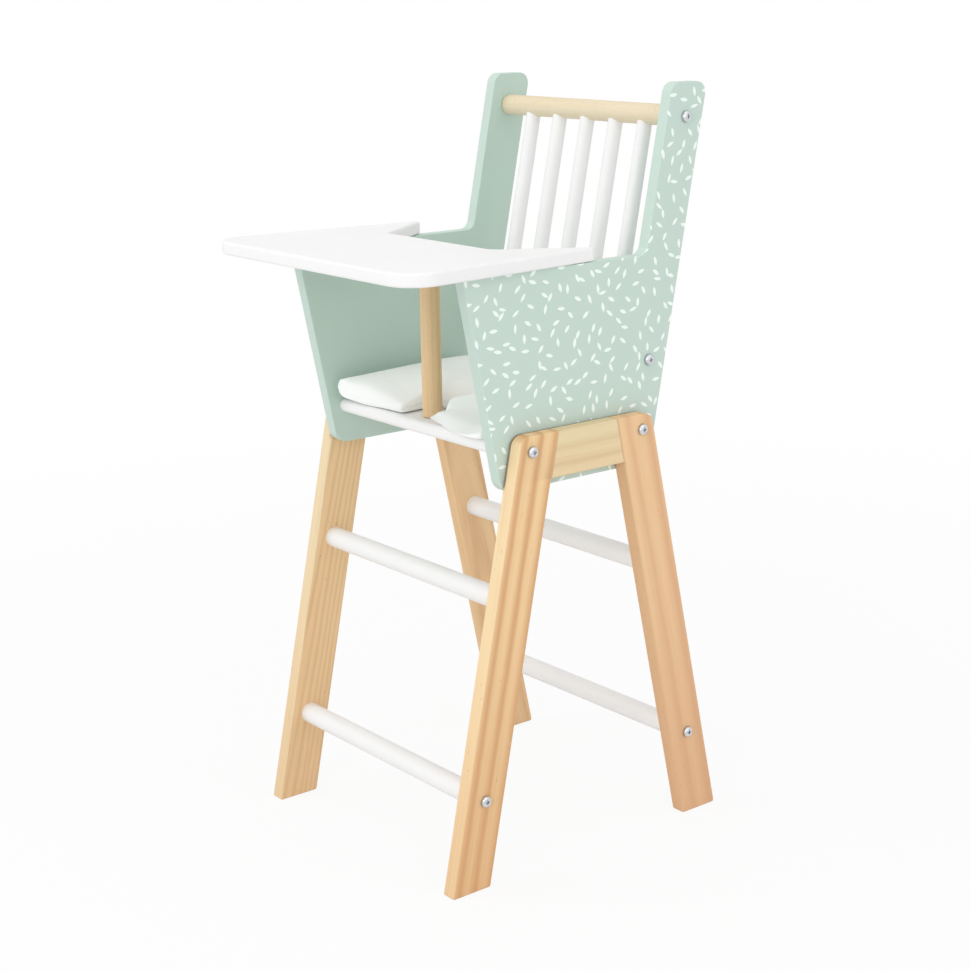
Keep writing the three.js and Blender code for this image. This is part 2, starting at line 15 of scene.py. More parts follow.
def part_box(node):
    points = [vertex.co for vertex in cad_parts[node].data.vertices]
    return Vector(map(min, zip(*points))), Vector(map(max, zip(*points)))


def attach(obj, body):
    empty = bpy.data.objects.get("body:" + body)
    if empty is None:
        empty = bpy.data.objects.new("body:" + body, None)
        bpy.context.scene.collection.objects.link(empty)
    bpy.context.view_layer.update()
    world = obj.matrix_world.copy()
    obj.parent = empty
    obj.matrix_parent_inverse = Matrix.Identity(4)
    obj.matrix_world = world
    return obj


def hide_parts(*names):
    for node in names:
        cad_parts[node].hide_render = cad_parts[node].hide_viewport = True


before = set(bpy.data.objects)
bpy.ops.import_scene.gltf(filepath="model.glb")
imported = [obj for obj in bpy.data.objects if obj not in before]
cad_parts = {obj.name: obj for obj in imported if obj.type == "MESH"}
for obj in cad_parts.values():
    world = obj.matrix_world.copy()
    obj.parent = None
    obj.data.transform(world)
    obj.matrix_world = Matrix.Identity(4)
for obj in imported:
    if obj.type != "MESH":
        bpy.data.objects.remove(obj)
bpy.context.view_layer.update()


# Leg frames. Each side has two pine battens that lean towards each other and a short bridge rail
# between their tops. The joints are glued with hidden dowels and sanded flush, so only a thin
# slanting line shows there, and the outline's edges are eased afterwards.

frame_height = 0.3305
bridge_bottom = 0.2965
leg_thickness = 0.012
leg_span = 0.03442
leg_slope = math.tan(math.radians(11.75))
frame_edge = 0.0012
leg_top_radius = 0.0092
leg_foot_radius = 0.0018
panel_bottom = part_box("right_side_panel")[0].z
# Where the painted shadow of the gap between leg and side panel lies: its lower end and its band
# across the leg.
gap_shadow_start = panel_bottom + 0.008
gap_shadow_inner = 0.1110
gap_shadow_outer = 0.1124
foot_darkening_height = 0.26
front_face_from = 0.0150
front_face_to = 0.0167
plain_ring = 0.0132


def add(primitive, name, **place):
    """A primitive on its own: nothing else is selected, and its place is in its mesh."""
    bpy.ops.object.select_all(action="DESELECT")
    primitive(**place)
    piece = bpy.context.object
    piece.name = piece.data.name = name
    bpy.ops.object.transform_apply(location=True, rotation=True, scale=True)
    return piece


def middle(part):
    """The middle of an edge or a face."""
    return sum((v.co for v in part.verts), Vector()) / len(part.verts)


def shape(piece, kind, chosen, operator, **settings):
    """One step in edit mode, on the vertices, edges or faces that chosen picks out."""
    bpy.ops.object.select_all(action="DESELECT")
    piece.select_set(True)
    bpy.context.view_layer.objects.active = piece
    bpy.ops.object.mode_set(mode="EDIT")
    bpy.ops.mesh.select_mode(type=kind)
    bpy.ops.mesh.select_all(action="DESELECT")
    mesh = bmesh.from_edit_mesh(piece.data)
    for part in {"VERT": mesh.verts, "EDGE": mesh.edges, "FACE": mesh.faces}[kind]:
        part.select_set(bool(chosen(part)))
    mesh.select_flush_mode()
    bmesh.update_edit_mesh(piece.data)
    operator(**settings)
    bpy.ops.object.mode_set(mode="OBJECT")


def round_corner(piece, axis, place, radius, segments=8):
    """Rounds the edge that runs along axis through place, where two side faces meet."""
    place = Vector(place)
    others = [i for i in range(3) if i != axis]

    def here(edge):
        along = (edge.verts[1].co - edge.verts[0].co).normalized()
        return abs(along[axis]) > 0.99 and all(
            abs(middle(edge)[i] - place[i]) < 0.0008 for i in others
        )

    looked_at = bmesh.new()
    looked_at.from_mesh(piece.data)
    bend = next(edge for edge in looked_at.edges if here(edge)).calc_face_angle()
    looked_at.free()
    shape(piece, "EDGE", here, bpy.ops.mesh.bevel,
          offset=radius * math.tan(bend / 2), segments=segments, affect="EDGES")


def ease_outline(piece, axis, radius, left_sharp=lambda edge: False, segments=3):
    """Rounds over the edges round the board's two wide faces, which face along axis."""
    def on_outline(edge):
        wide = [abs(face.normal[axis]) > 0.999 for face in edge.link_faces]
        return wide.count(True) == 1 and not left_sharp(edge)

    shape(piece, "EDGE", on_outline, bpy.ops.mesh.bevel,
          offset=radius, segments=segments, affect="EDGES")


def apply(piece, kind, **settings):
    """Adds a modifier to the piece and applies it."""
    bpy.ops.object.select_all(action="DESELECT")
    piece.select_set(True)
    bpy.context.view_layer.objects.active = piece
    modifier = piece.modifiers.new(kind.lower(), kind)
    for setting, value in settings.items():
        setattr(modifier, setting, value)
    bpy.ops.object.modifier_apply(modifier=modifier.name)


def smooth(piece, degrees=40):
    """Shades the rounded edges smooth and keeps the wide faces flat."""
    bpy.ops.object.select_all(action="DESELECT")
    piece.select_set(True)
    bpy.context.view_layer.objects.active = piece
    bpy.ops.object.shade_smooth_by_angle(angle=math.radians(degrees))
    apply(piece, "WEIGHTED_NORMAL", keep_sharp=True)


def colour(red, green, blue):
    """A colour given as a screen shows it, 0 to 255, for a shader's socket."""
    def linear(part):
        share = part / 255
        return share / 12.92 if share <= 0.04045 else ((share + 0.055) / 1.055) ** 2.4
    return (linear(red), linear(green), linear(blue), 1)


class Field:
    """A value, colour or vector that a finish works out. Arithmetic on it adds Math nodes."""

    def __init__(self, socket):
        self.socket = socket

    def node(self, kind, settings, sockets, output=0):
        """A new node in the same finish: its settings first, then its sockets' values or links."""
        tree = self.socket.id_data
        made = tree.nodes.new(kind)
        for setting, value in settings.items():
            if setting == "stops":
                while len(made.color_ramp.elements) < len(value):
                    made.color_ramp.elements.new(1)
                for stop, (place, shown) in zip(made.color_ramp.elements, value):
                    stop.position, stop.color = place, shown
            else:
                setattr(made, setting, value)
        for socket, value in sockets.items():
            if isinstance(value, Field):
                tree.links.new(value.socket, made.inputs[socket])
            else:
                made.inputs[socket].default_value = value
        return Field(made.outputs[output])

    def math(self, operation, *values):
        return self.node("ShaderNodeMath", {"operation": operation}, dict(enumerate(values)))

    def __add__(self, other):
        return self.math("ADD", self, other)

    def __sub__(self, other):
        return self.math("SUBTRACT", self, other)

    def __rsub__(self, other):
        return self.math("SUBTRACT", other, self)

    def __mul__(self, other):
        return self.math("MULTIPLY", self, other)

    def __truediv__(self, other):
        return self.math("DIVIDE", self, other)

    __radd__ = __add__

    def turned(self, location=(0, 0, 0), rotation=(0, 0, 0), scale=(1, 1, 1)):
        """These coordinates scaled, turned and then moved."""
        return self.node("ShaderNodeMapping", {}, {
            "Vector": self, "Location": location, "Rotation": rotation, "Scale": scale})

    def noise(self, scale, detail=2, roughness=0.5):
        return self.node("ShaderNodeTexNoise", {}, {
            "Vector": self, "Scale": scale, "Detail": detail, "Roughness": roughness})

    def ramp(self, *stops):
        return self.node("ShaderNodeValToRGB", {"stops": stops}, {"Fac": self})

    def rise(self, low, high):
        """0 below low, 1 above high, and smooth between them."""
        return self.node("ShaderNodeMapRange", {"interpolation_type": "SMOOTHSTEP"}, {
            "Value": self, "From Min": low, "From Max": high})

    def mix(self, first, second):
        """This share of the second colour over the first."""
        return self.node("ShaderNodeMix", {"data_type": "RGBA"}, {
            0: self, 6: first, 7: second}, 2)


def finish(name, build, **constants):
    """A finish made by build, which turns Object coordinates into the sockets that vary."""
    material = bpy.data.materials.new(name)
    material.use_nodes = True
    tree = material.node_tree
    shader = tree.nodes["Principled BSDF"]
    place = Field(tree.nodes.new("ShaderNodeTexCoord").outputs["Object"])
    varying = build(place)
    if "height" in varying:
        height, depth = varying.pop("height")
        varying["Normal"] = place.node("ShaderNodeBump", {}, {
            "Height": height, "Strength": 1, "Distance": depth})
    for socket, value in varying.items():
        tree.links.new(value.socket, shader.inputs[socket])
    for socket, value in constants.items():
        shader.inputs[socket.replace("_", " ")].default_value = value
    return material


def pine(name, turn, tilt, centre, from_pith, ring, start, light, dark, foot, front, depth):
    """Pine with its grain along the local Z, cut at a distance from its pith. The year rings make
    broad soft bands with one sharper edge, and a tilt against the pith makes them run out in Vs.
    The wood darkens slowly from the light colour to the foot's colour down its length. Its narrow
    front face has a tone of its own with painted light and shade, lighter on the front legs and
    darker on the rear legs, and a painted shadow darkens the gap where the leg meets the side
    panel."""
    turned_centre = Matrix.Rotation(tilt, 3, "Y") @ Matrix.Rotation(turn, 3, "X") @ Vector(centre)
    location = (from_pith[0] - turned_centre.x, from_pith[1] - turned_centre.y, -turned_centre.z)

    def build(place):
        grain = place.turned(rotation=(turn, 0, 0)).turned(location, (0, tilt, 0))
        across = grain.node("ShaderNodeVectorMath", {"operation": "MULTIPLY"}, {
            0: grain, 1: (1, 1, 0)})
        radius = across.node("ShaderNodeVectorMath", {"operation": "LENGTH"}, {0: across}, "Value")
        loose = math.sqrt(plain_ring / ring)
        wander = grain.turned(scale=(22, 22, 3.4)).noise(1, 1) * (0.42 * loose)
        ripple = grain.turned(scale=(120, 120, 26 / loose ** 1.4)).noise(1, 2)
        ripple = ripple * (0.15 * loose ** 2)
        rings = radius / ring + wander + ripple + (start - 0.21 * loose - 0.075 * loose ** 2)
        year = rings.math("FRACT", rings)
        late = year.ramp(
            (0.0, (0, 0, 0, 1)), (0.22, (0.04, 0.04, 0.04, 1)), (0.44, (0.52, 0.52, 0.52, 1)),
            (0.60, (1, 1, 1, 1)), (0.72, (0.78, 0.78, 0.78, 1)), (0.86, (0.12, 0.12, 0.12, 1)))
        whole = rings.math("FLOOR", rings - 0.86)
        uneven = whole.node("ShaderNodeTexWhiteNoise", {"noise_dimensions": "1D"}, {"W": whole})
        late = late * (uneven * 0.4 + 0.6) * depth
        glow = grain.turned(scale=(34, 34, 5)).noise(1, 2).rise(0.35, 0.75)
        fibre = grain.turned(scale=(1300, 1300, 22)).noise(1, 3, 0.6)
        streak = grain.turned(scale=(380, 380, 8)).noise(1, 2).rise(0.5, 0.8)
        fleck = grain.turned(scale=(700, 700, 150)).noise(1, 1).rise(0.755, 0.8)
        height = place.node("ShaderNodeSeparateXYZ", {}, {"Vector": place}, 2)
        above_foot = height.rise(0.0, foot_darkening_height)
        wood = above_foot.mix(foot, light)
        wood = (glow * 0.35).mix(wood, colour(238, 190, 146))
        wood = late.mix(wood, dark)
        y = grain.node("ShaderNodeSeparateXYZ", {}, {"Vector": grain}, 1)
        # Painted light and shade: the narrow front face is lighter on the front legs and darker on
        # the rear legs.
        at_front = y.rise(from_pith[1] - front_face_from, from_pith[1] - front_face_to)
        wood = (at_front * (above_foot * 0.4 + 0.3)).mix(wood, front)
        wood = (streak * 0.22).mix(wood, dark)
        wood = (fibre.rise(0.3, 0.75) * 0.09).mix(wood, (0.45, 0.26, 0.12, 1))
        wood = (fleck * 0.4).mix(wood, (0.26, 0.13, 0.06, 1))
        # Painted shadow: a dark line along the leg's inner edge at the gap to the side panel.
        x = place.node("ShaderNodeSeparateXYZ", {}, {"Vector": place}, 0)
        gap_shadow_mask = x.math("ABSOLUTE", x).rise(gap_shadow_outer, gap_shadow_inner)
        gap_shadow_mask = gap_shadow_mask * height.rise(panel_bottom, gap_shadow_start)
        wood = (gap_shadow_mask * 0.8).mix(wood, colour(104, 76, 50))
        return {
            "Base Color": wood,
            "Roughness": 0.58 - late * 0.1 + fibre * 0.08,
            "height": (late * 0.4 + fibre * 0.6, 0.00011),
        }

    return finish(name, build)


legs = {
    # tilt, middle seen from the pith, width of a ring, where the first ring starts, light wood,
    # late wood, wood at the foot, the front face's tone with its light and shade painted in, depth
    # of the late wood
    "right_front_leg": (0.004, (0.020, 0.115), 0.0132, 0.56, colour(242, 208, 158),
                        colour(209, 154, 102), colour(229, 188, 139), colour(244, 222, 178),
                        0.95),
    "right_rear_leg": (0.006, (0.030, 0.090), 0.0170, 0.22, colour(238, 202, 156),
                       colour(215, 162, 120), colour(224, 180, 138), colour(214, 172, 128), 0.8),
    "left_front_leg": (0.020, (-0.046, 0.030), 0.0030, 0.0, colour(238, 206, 158),
                       colour(206, 164, 116), colour(232, 196, 150), colour(238, 222, 184), 0.5),
    "left_rear_leg": (0.045, (0.016, 0.004), 0.0085, 0.0, colour(236, 202, 156),
                      colour(202, 156, 110), colour(232, 196, 150), colour(230, 194, 146), 0.7),
}
for name, (tilt, from_pith, ring, start, light, dark, foot_wood, front, depth) in legs.items():
    low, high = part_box(name)
    x = (low.x + high.x) / 2
    to_rear = 1 if "rear" in name else -1
    foot = high.y - leg_span / 2 if to_rear > 0 else low.y + leg_span / 2
    lean = -to_rear * frame_height * leg_slope
    top = foot + lean
    leg = add(bpy.ops.mesh.primitive_cube_add, name + "_batten", size=1,
              location=(x, foot, frame_height / 2),
              scale=(leg_thickness, leg_span, frame_height))
    shape(leg, "FACE", lambda face: face.normal.z > 0.9,
          bpy.ops.transform.translate, value=(0, lean, 0))
    shape(leg, "FACE", lambda face: True, bpy.ops.mesh.bisect,
          plane_co=(0, 0, bridge_bottom), plane_no=(0, 0, 1))
    outer, inner = to_rear * leg_span / 2, -to_rear * leg_span / 2
    round_corner(leg, 0, (x, top + outer, frame_height), leg_top_radius, 10)
    round_corner(leg, 0, (x, foot + outer, 0), leg_foot_radius, 4)
    round_corner(leg, 0, (x, foot + inner, 0), leg_foot_radius, 4)

    def in_joint(edge):
        past = (middle(edge).y - top) * to_rear + (frame_height - middle(edge).z) * -leg_slope
        return middle(edge).z > bridge_bottom and past < -leg_span / 2 + 0.001

    ease_outline(leg, 0, frame_edge, in_joint)
    smooth(leg)
    leg.data.materials.append(pine(
        name + "_pine", -to_rear * math.atan(leg_slope), tilt,
        (x, (foot + top) / 2, frame_height / 2), from_pith, ring, start,
        light, dark, foot_wood, front, depth))
    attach(leg, "chair")
    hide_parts(name)

for side, from_pith in {"right": (0.030, 0.060), "left": (-0.028, 0.058)}.items():
    name = side + "_bridge_rail"
    low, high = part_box(name)
    centre = (low + high) / 2
    rail = add(bpy.ops.mesh.primitive_cube_add, name + "_board", size=1, location=centre,
               scale=(leg_thickness, high.y - low.y, frame_height - bridge_bottom))
    shape(rail, "FACE", lambda face: face.normal.z > 0.9, bpy.ops.transform.resize,
          value=(1, 1 - 2 * (frame_height - bridge_bottom) * leg_slope / (high.y - low.y), 1))
    ease_outline(rail, 0, frame_edge, lambda edge: abs(middle(edge).y - centre.y) > 0.02)
    smooth(rail)
    rail.data.materials.append(pine(
        name + "_pine", math.pi / 2, 0.003, centre, from_pith, 0.0105, 0.35,
        colour(231, 214, 173), colour(214, 184, 138), colour(230, 208, 164),
        colour(230, 208, 164), 0.6))
    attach(rail, "chair")
    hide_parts(name)


# Side panels. Each is one board, 10 mm thick, sawn so that it carries the armrest and runs up
# into the leaning upright of the back. It is painted mint all over, with small pale dashes
# printed on the outer face only. Frame screws hold it between the leg frame and the seat board.

panel_corners = {"front": 0.0015, "bottom": 0.0118, "top": 0.0088, "fillet": 0.0078}
panel_edge = 0.0008
upright_span = 0.03575
armrest_height = 0.446
panel_inner_face = 0.0992
panel_outer_face = 0.1085


def mint(name):
    """Satin mint paint, painted darker on the plain inner face as painted shade, and on the outer
    face the print of grain-shaped dashes that lie every which way."""
    def build(place):
        x, y, z = (place.node("ShaderNodeSeparateXYZ", {}, {"Vector": place}, i) for i in range(3))
        cloud = place.noise(18, 2)
        coat = place.noise(420, 3, 0.6)
        side = x.math("ABSOLUTE", x)
        paint = (cloud * 0.5).mix(colour(194, 214, 204), colour(201, 218, 209))
        # Painted shade: the inner face is darker, for the shade between the panels.
        paint = side.rise(panel_inner_face + 0.0003, panel_inner_face).mix(
            paint, colour(188, 210, 198))
        flat = place.node("ShaderNodeCombineXYZ", {}, {"X": y * 90 + 3.3, "Y": z * 90 + 0.4})
        flat = flat.turned(rotation=(0, 0, math.radians(31)))
        layout = {"Vector": flat, "Scale": 1, "Randomness": 0.7}
        rim = None
        for nearest in ("F1", "F2"):
            cells = {"voronoi_dimensions": "2D", "feature": nearest}
            seed = place.node("ShaderNodeTexVoronoi", cells, layout, "Color")
            spot = place.node("ShaderNodeTexVoronoi", cells, layout, "Position")
            reach = place.node("ShaderNodeVectorMath", {"operation": "SUBTRACT"}, {
                0: flat, 1: spot})
            along, off = (reach.node("ShaderNodeSeparateXYZ", {}, {"Vector": reach}, i)
                          for i in range(2))
            red, green, blue = (seed.node("ShaderNodeSeparateColor", {}, {"Color": seed}, i)
                                for i in range(3))
            angle = red * (2 * math.pi)
            cosine, sine = angle.math("COSINE", angle), angle.math("SINE", angle)
            length = along * cosine + off * sine
            width = off * cosine - along * sine
            half_length, half_width = 0.31 + green * 0.05, 0.105 + blue * 0.025
            share = length / half_length
            edge = half_width * (1 - share * share) - width.math("ABSOLUTE", width)
            rim = edge if rim is None else rim.math("MAXIMUM", rim, edge)
        dash = rim.rise(-0.012, 0.012) * side.rise(panel_outer_face, panel_outer_face + 0.0002)
        return {
            "Base Color": dash.mix(paint, colour(240, 250, 245)),
            "Roughness": 0.5 - dash * 0.06 + coat * 0.05,
            "height": (coat * 0.4 + dash * 0.6, 0.00004),
        }

    return finish(name, build)


for side in ("right", "left"):
    name = side + "_side_panel"
    low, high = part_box(name)
    back = high.y
    at_armrest = back - (high.z - armrest_height) * leg_slope
    at_bottom = back - (high.z - low.z) * leg_slope
    middle_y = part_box("seat_board")[0].lerp(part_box("seat_board")[1], 0.5).y
    panel = add(bpy.ops.mesh.primitive_cube_add, name + "_board", size=1,
                location=((low.x + high.x) / 2, (low.y + at_armrest) / 2,
                          (low.z + armrest_height) / 2),
                scale=(high.x - low.x, at_armrest - low.y, armrest_height - low.z))
    shape(panel, "EDGE", lambda edge: middle(edge).z < low.z + 0.001
          and middle(edge).y > middle_y + 0.03,
          bpy.ops.transform.translate, value=(0, at_bottom - at_armrest, 0))
    shape(panel, "EDGE", lambda edge: middle(edge).z < low.z + 0.001
          and middle(edge).y < middle_y - 0.03,
          bpy.ops.transform.translate, value=(0, 2 * middle_y - at_bottom - low.y, 0))
    shape(panel, "FACE", lambda face: True, bpy.ops.mesh.bisect,
          plane_co=(0, at_armrest - upright_span, 0), plane_no=(0, 1, 0))
    shape(panel, "FACE", lambda face: face.normal.z > 0.9 and middle(face).y > middle_y + 0.07,
          bpy.ops.mesh.extrude_region_move, TRANSFORM_OT_translate={
              "value": (0, back - at_armrest, high.z - armrest_height)})
    shape(panel, "FACE", lambda face: True, bpy.ops.mesh.dissolve_limited, angle_limit=0.01)
    x = (low.x + high.x) / 2
    front_bottom, rear_bottom = 2 * middle_y - at_bottom, at_bottom
    for key, y, z in (("front", low.y, armrest_height), ("bottom", front_bottom, low.z),
                      ("bottom", rear_bottom, low.z), ("top", back, high.z),
                      ("top", back - upright_span, high.z),
                      ("fillet", at_armrest - upright_span, armrest_height)):
        round_corner(panel, 0, (x, y, z), panel_corners[key], 10)
    ease_outline(panel, 0, panel_edge)
    smooth(panel)
    panel.data.materials.append(mint(side + "_mint_paint"))
    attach(panel, "chair")
    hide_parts(name)


# Rungs. Four turned round bars join the two leg frames, each pushed into blind sockets in the
# legs. They are painted white, and the lower two are also held by a screw from outside.

def white(name, tone=colour(243, 243, 242), grain=(300, 300, 300)):
    """White satin lacquer on turned wood or board, with a trace of the grain in its surface."""
    def build(place):
        cloud = place.noise(25, 2)
        coat = place.turned(scale=grain).noise(1, 3, 0.55)
        return {
            "Base Color": (cloud * 0.6 + coat * 0.25).mix(tone, colour(236, 236, 236)),
            "Roughness": 0.44 + coat * 0.1,
            "height": (coat, 0.00004),
        }

    return finish(name, build)


def round_bar(name, node, axis, end_edge):
    """A turned bar that fills its CAD node's box along axis, with eased ends."""
    low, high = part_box(node)
    across = [i for i in range(3) if i != axis]
    bar = add(bpy.ops.mesh.primitive_cylinder_add, name, vertices=64,
              radius=(high[across[0]] - low[across[0]]) / 2, depth=high[axis] - low[axis],
              location=(low + high) / 2,
              rotation=((0, math.pi / 2, 0), (math.pi / 2, 0, 0), (0, 0, 0))[axis])
    shape(bar, "EDGE", lambda edge: {True, False} == {
        abs(face.normal[axis]) > 0.9 for face in edge.link_faces},
        bpy.ops.mesh.bevel, offset=end_edge, segments=3, affect="EDGES")
    return bar


for end in ("front", "rear"):
    for level in ("upper", "lower"):
        name = f"{end}_{level}_rung"
        rung = round_bar(name + "_bar", name, 0, 0.0008)
        smooth(rung)
        rung.data.materials.append(white(name + "_white", grain=(22, 600, 600)))
        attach(rung, "chair")
        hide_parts(name)


# Seat board. A white painted board with a rounded front edge between square corners lies between
# the side panels. The frame screws hold it from both sides, and the post's countersunk screw
# comes up through it.

seat_nose_radius = 0.0042
seat_rear_radius = 0.0016
seat_end_edge = 0.0006
countersink_radius = 0.0045
countersink_tip_radius = 0.0022
countersink_depth = 0.0036
countersink_middle = 0.0016

low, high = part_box("seat_board")
seat = add(bpy.ops.mesh.primitive_cube_add, "seat_board_panel", size=1,
           location=(low + high) / 2, scale=high - low)
for z in (low.z, high.z):
    round_corner(seat, 0, (0, low.y, z), seat_nose_radius, 8)
    round_corner(seat, 0, (0, high.y, z), seat_rear_radius, 4)
ease_outline(seat, 0, seat_end_edge)
screw_low, screw_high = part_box("post_screw")
screw_axis = (screw_low + screw_high) / 2
sink = add(bpy.ops.mesh.primitive_cone_add, "countersink", vertices=48,
           radius1=countersink_radius, radius2=countersink_tip_radius,
           depth=countersink_depth,
           location=(screw_axis.x, screw_axis.y, low.z + countersink_middle))
apply(seat, "BOOLEAN", object=sink, operation="DIFFERENCE", solver="EXACT")
bpy.data.objects.remove(sink)
smooth(seat)
seat.data.materials.append(white("seat_board_white", grain=(30, 500, 500)))
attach(seat, "chair")
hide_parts("seat_board")


# Seat cushion. A loose boxy pad of white cotton with a soft filling, sewn round its edge, with a
# wide slot at the front for the post. It only lies on the seat board: its left front corner curls
# up a little, and the right front lobe has sunk in front of a slanting crease.

pad_seam_height = 0.0100
pad_slot_left = 0.0225
pad_slot_right = 0.0260
pad_slot_depth = 0.0350
pad_roll = 0.0070
pad_cell = 0.003
pad_cap = 0.005
pad_waist = 0.0030
seam_ridge = 0.0007
seam_width = 0.0021
corner_forward = 0.0075
corner_outward = 0.0025
corner_curl = 0.0052
lobe_droop = 0.0022
mouth_reach = 0.062
crease_x = 0.027
crease_y = 0.0174
flap_height = 0.0115
flap_slope = 0.13
flap_forward = 0.0055
pad_full_height = 0.0205
post_clearance = 0.0012

low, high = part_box("seat_cushion")
pad_middle = (low + high) / 2
slot_end = low.y + pad_slot_depth
post_low, post_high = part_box("tray_post")
post_middle = (post_low + post_high) / 2
post_radius = (post_high.x - post_low.x) / 2


def edge_distance(x, y):
    """How far a point of the pad's plan is from the nearest part of its outline."""
    from_sides = min(high.x - abs(x), y - low.y, high.y - y)
    beside = max(-x - pad_slot_left, x - pad_slot_right)
    behind = y - slot_end
    from_slot = math.hypot(max(beside, 0), max(behind, 0)) if behind > 0 else beside
    return max(0, min(from_sides, from_slot))


def round_over(inwards, width):
    """Rises steeply from 0 at the pad's edge to 1 at this width from it."""
    return (1 - (1 - min(inwards / width, 1)) ** 2.3) ** (1 / 2.3)


columns = round((high.x - low.x) / pad_cell)
rows = round((high.y - low.y) / pad_cell)
cushion = add(bpy.ops.mesh.primitive_grid_add, "seat_cushion_pad", size=1, x_subdivisions=columns,
              y_subdivisions=rows, location=(pad_middle.x, pad_middle.y, low.z))
shape(cushion, "FACE", lambda face: True, bpy.ops.transform.resize,
      value=(high.x - low.x, high.y - low.y, 1))
shape(cushion, "FACE", lambda face: -pad_slot_left < middle(face).x < pad_slot_right
      and middle(face).y < slot_end, bpy.ops.mesh.delete, type="FACE")
shape(cushion, "FACE", lambda face: True, bpy.ops.mesh.extrude_region_move,
      TRANSFORM_OT_translate={"value": (0, 0, 0.012)})
shape(cushion, "FACE", lambda face: True, bpy.ops.mesh.normals_make_consistent, inside=False)
for vertex in cushion.data.vertices:
    x, y = vertex.co.x, vertex.co.y
    is_top = vertex.co.z > low.z + 0.006
    inwards = edge_distance(x, y)
    across = (x - pad_middle.x) / (high.x - pad_middle.x)
    along = (y - pad_middle.y) / (high.y - pad_middle.y)
    vertex.co.x -= across * (pad_waist * (1 - along * along) + 0.0012 * abs(across * along) ** 9)
    vertex.co.y -= along * (pad_waist * (1 - across * across) * abs(along)
                            + 0.0012 * abs(across * along) ** 9)
    vertex.co.z = low.z + pad_seam_height + (
        0.001 + 0.0086 * round_over(inwards, pad_roll) if is_top
        else -0.001 - (pad_seam_height - 0.001) * round_over(inwards, 0.0045))
apply(cushion, "REMESH", mode="VOXEL", voxel_size=0.003)
before = [vertex.co.copy() for vertex in cushion.data.vertices]
cloth = cushion.modifiers.new("cloth", "CLOTH")
cloth.settings.quality = 5
cloth.settings.mass = 0.12
cloth.settings.tension_stiffness = 12
cloth.settings.compression_stiffness = 12
cloth.settings.bending_stiffness = 0.6
cloth.settings.use_pressure = True
cloth.settings.uniform_pressure_force = 4
cloth.settings.effector_weights.gravity = 0
cloth.collision_settings.use_collision = False
for step in range(1, 21):
    bpy.context.scene.frame_set(step)
bpy.context.view_layer.objects.active = cushion
bpy.ops.object.modifier_apply(modifier="cloth")
bpy.context.scene.frame_set(1)
for vertex, start in zip(cushion.data.vertices, before):
    moved = vertex.co - start
    vertex.co = start + moved * min(1, pad_cap / max(moved.length, 1e-9))
apply(cushion, "SUBSURF", levels=1, render_levels=1)


def bell(value, centre, width):
    """1 at the centre and 0 beyond the width, with no corner between."""
    share = min(abs(value - centre) / width, 1)
    return (1 - share * share) ** 2


def ramp_up(value, low_end, high_end):
    share = min(max((value - low_end) / (high_end - low_end), 0), 1)
    return share * share * (3 - 2 * share)


